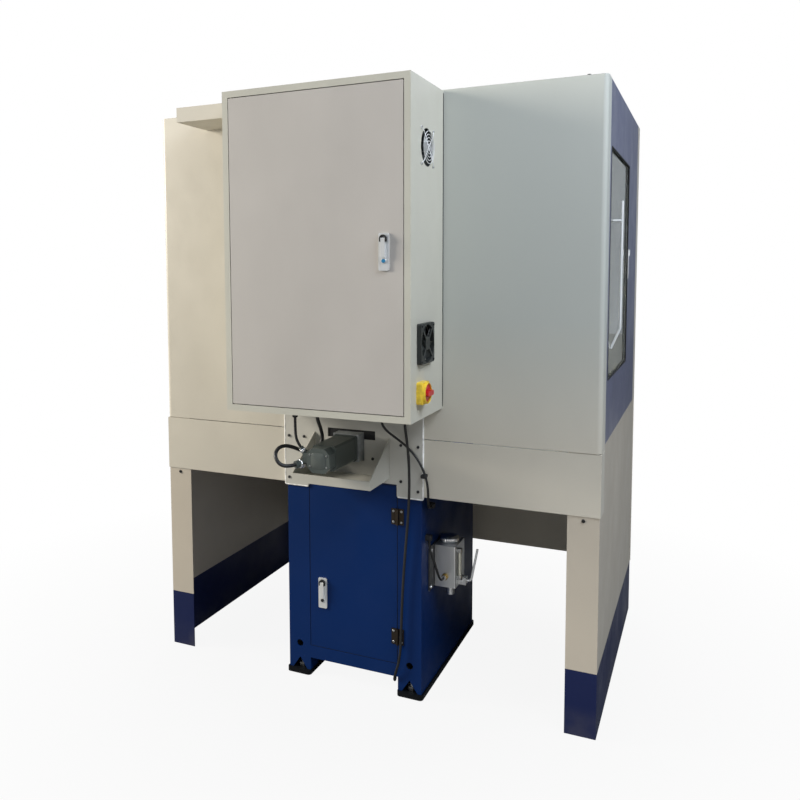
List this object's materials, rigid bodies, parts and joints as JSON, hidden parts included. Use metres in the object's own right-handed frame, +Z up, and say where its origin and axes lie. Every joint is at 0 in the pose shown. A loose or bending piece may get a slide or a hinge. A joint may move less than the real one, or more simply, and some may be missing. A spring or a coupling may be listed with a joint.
{
  "type": "milling machine",
  "caption": "Enclosed bench milling machine on a sheet stand: sliding table, saddle and head with spindle, rear electrical cabinet with door, fans and switch, hand oil pump and cables.",
  "frame": {"origin": "on the floor at the middle of the stand's four anchor holes", "axes": "+X operator's right, +Y rear, +Z up"},
  "size_m": [1.6052, 1.4236, 2],
  "materials": {
    "panel_grey": "fine orange-peel enamel, light grey",
    "side_blue": "satin enamel, violet blue",
    "wall_beige": "satin enamel, beige grey",
    "skirt_navy": "satin enamel, navy",
    "stand_blue": "gloss enamel, deep blue",
    "cabinet_grey": "fine textured powder coat, light grey",
    "window_glass": "clear sheet",
    "bright_chrome": "polished",
    "bare_steel": "ground",
    "black_plastic": "moulded",
    "yellow_plastic": "moulded",
    "red_plastic": "moulded",
    "motor_dark": "satin enamel, dark grey green",
    "cast_grey": "painted casting with ground ways",
    "pump_aluminium": "cast, bead blasted",
    "cable_black": "smooth jacket"
  },
  "bodies": {
    "frame": {"side_skirts": "skirt_navy", "lower_side_walls": "wall_beige", "upper_side_panels": "side_blue", "outer_panels": "panel_grey", "front_frame": "panel_grey", "chip_pan": "bare_steel", "slide_tracks": "bare_steel", "right_pane": "window_glass", "control_panel": "cabinet_grey", "stand_frame": "stand_blue", "stand_hinge_posts": "black_plastic", "cabinet_shell": "cabinet_grey", "drive_rack": "black_plastic", "fan_housings": "black_plastic", "fan_guard": "bright_chrome", "switch_base": "yellow_plastic", "rear_plate": "panel_grey", "bolts": "bare_steel", "motor_tray": "panel_grey", "servo_motors": "motor_dark", "motor_plugs": "bare_steel", "base_casting": "cast_grey", "column": "cast_grey", "pump_body": "pump_aluminium", "motor_cable": "cable_black", "encoder_cable": "cable_black", "signal_cable": "cable_black", "oil_hose": "cable_black", "cable_glands": "black_plastic", "mains_cord": "cable_black", "mains_coil": "cable_black", "mains_plug": "black_plastic"},
    "left_sash": {"left_sash": "window_glass", "sash_handle": "bright_chrome"},
    "front_door": {"front_door": "side_blue", "front_door_pane": "window_glass"},
    "stop_button": {"stop_button": "red_plastic"},
    "stand_door": {"stand_door": "stand_blue", "stand_hinge_leaves": "black_plastic", "stand_latch_plate": "bare_steel"},
    "stand_latch_lever": {"stand_latch_lever": "bare_steel"},
    "stand_latch_button": {"stand_latch_button": "black_plastic"},
    "cabinet_door": {"cabinet_door": "cabinet_grey", "cabinet_latch_plate": "bare_steel"},
    "cabinet_latch_lever": {"cabinet_latch_lever": "bare_steel"},
    "cabinet_latch_button": {"cabinet_latch_button": "black_plastic"},
    "upper_fan_rotor": {"upper_fan_rotor": "black_plastic"},
    "lower_fan_rotor": {"lower_fan_rotor": "black_plastic"},
    "switch_knob": {"switch_knob": "red_plastic"},
    "pump_cap": {"pump_cap": "bright_chrome"},
    "pump_lever": {"pump_lever": "bright_chrome"},
    "saddle": {"saddle": "cast_grey"},
    "table": {"table": "cast_grey", "x_motor": "motor_dark"},
    "x_screw": {"x_screw": "bare_steel"},
    "y_screw": {"y_screw": "bare_steel"},
    "head": {"head": "cast_grey", "spindle_motor": "motor_dark"},
    "spindle": {"spindle": "bare_steel"},
    "z_screw": {"z_screw": "bare_steel"}
  },
  "joints": [
    {"name": "sash_slide", "type": "slide", "parent": "frame", "child": "left_sash", "axis": [0, -1, 0], "range_m": [0, 0.3]},
    {"name": "front_door_slide", "type": "slide", "parent": "frame", "child": "front_door", "axis": [1, 0, 0], "range_m": [0, 0.47]},
    {"name": "stop_press", "type": "slide", "parent": "frame", "child": "stop_button", "axis": [0, 1, 0], "range_m": [0, 0.006], "stiffness_N_per_m": 900},
    {"name": "stand_door_hinge", "type": "hinge", "parent": "frame", "child": "stand_door", "pos_m": [-0.166, 0.3175, 0.4155], "axis": [0, 0, 1], "range_deg": [0, 90]},
    {"name": "stand_latch_hinge", "type": "hinge", "parent": "stand_door", "child": "stand_latch_lever", "pos_m": [0.114, 0.3218, 0.346], "axis": [1, 0, 0], "range_deg": [0, 40]},
    {"name": "stand_latch_press", "type": "slide", "parent": "stand_door", "child": "stand_latch_button", "axis": [0, -1, 0], "range_m": [0, 0.0025], "stiffness_N_per_m": 500},
    {"name": "cabinet_door_hinge", "type": "hinge", "parent": "frame", "child": "cabinet_door", "pos_m": [0.2725, 0.6065, 1.496], "axis": [0, 0, -1], "range_deg": [0, 110]},
    {"name": "cabinet_latch_hinge", "type": "hinge", "parent": "cabinet_door", "child": "cabinet_latch_lever", "pos_m": [-0.24, 0.6218, 1.53], "axis": [1, 0, 0], "range_deg": [0, 40]},
    {"name": "cabinet_latch_press", "type": "slide", "parent": "cabinet_door", "child": "cabinet_latch_button", "axis": [0, -1, 0], "range_m": [0, 0.0025], "stiffness_N_per_m": 500},
    {"name": "upper_fan_spin", "type": "hinge", "parent": "frame", "child": "upper_fan_rotor", "pos_m": [-0.321, 0.4695, 1.802], "axis": [-1, 0, 0], "continuous": true},
    {"name": "lower_fan_spin", "type": "hinge", "parent": "frame", "child": "lower_fan_rotor", "pos_m": [-0.321, 0.5005, 1.223], "axis": [-1, 0, 0], "continuous": true},
    {"name": "switch_turn", "type": "hinge", "parent": "frame", "child": "switch_knob", "pos_m": [-0.339, 0.5325, 1.078], "axis": [-1, 0, 0], "range_deg": [0, 90]},
    {"name": "pump_cap_turn", "type": "hinge", "parent": "frame", "child": "pump_cap", "pos_m": [-0.292, 0.1375, 0.497], "axis": [0, 0, 1], "continuous": true},
    {"name": "pump_lever_swing", "type": "hinge", "parent": "frame", "child": "pump_lever", "pos_m": [-0.342, 0.1355, 0.365], "axis": [0, -1, 0], "range_deg": [0, 50], "stiffness_Nm_per_rad": 0.6, "springref_deg": -28.65},
    {"name": "saddle_slide", "type": "slide", "parent": "frame", "child": "saddle", "axis": [0, 1, 0], "range_m": [-0.1, 0.1]},
    {"name": "table_slide", "type": "slide", "parent": "saddle", "child": "table", "axis": [1, 0, 0], "range_m": [-0.15, 0.15]},
    {"name": "x_screw_turn", "type": "hinge", "parent": "table", "child": "x_screw", "pos_m": [0, -0.0975, 0.936], "axis": [1, 0, 0], "continuous": true},
    {"name": "y_screw_turn", "type": "hinge", "parent": "frame", "child": "y_screw", "pos_m": [0, 0, 0.848], "axis": [0, 1, 0], "continuous": true},
    {"name": "head_slide", "type": "slide", "parent": "frame", "child": "head", "axis": [0, 0, 1], "range_m": [-0.24, 0]},
    {"name": "spindle_turn", "type": "hinge", "parent": "head", "child": "spindle", "pos_m": [0, -0.0875, 1.31], "axis": [0, 0, 1], "continuous": true},
    {"name": "z_screw_turn", "type": "hinge", "parent": "frame", "child": "z_screw", "pos_m": [0, 0.0875, 1.4], "axis": [0, 0, 1], "continuous": true}
  ],
  "couplings": [
    {"joint": "x_screw_turn", "follows": "table_slide", "rad_per_m": 628.32},
    {"joint": "y_screw_turn", "follows": "saddle_slide", "rad_per_m": 628.32},
    {"joint": "z_screw_turn", "follows": "head_slide", "rad_per_m": 628.32}
  ]
}
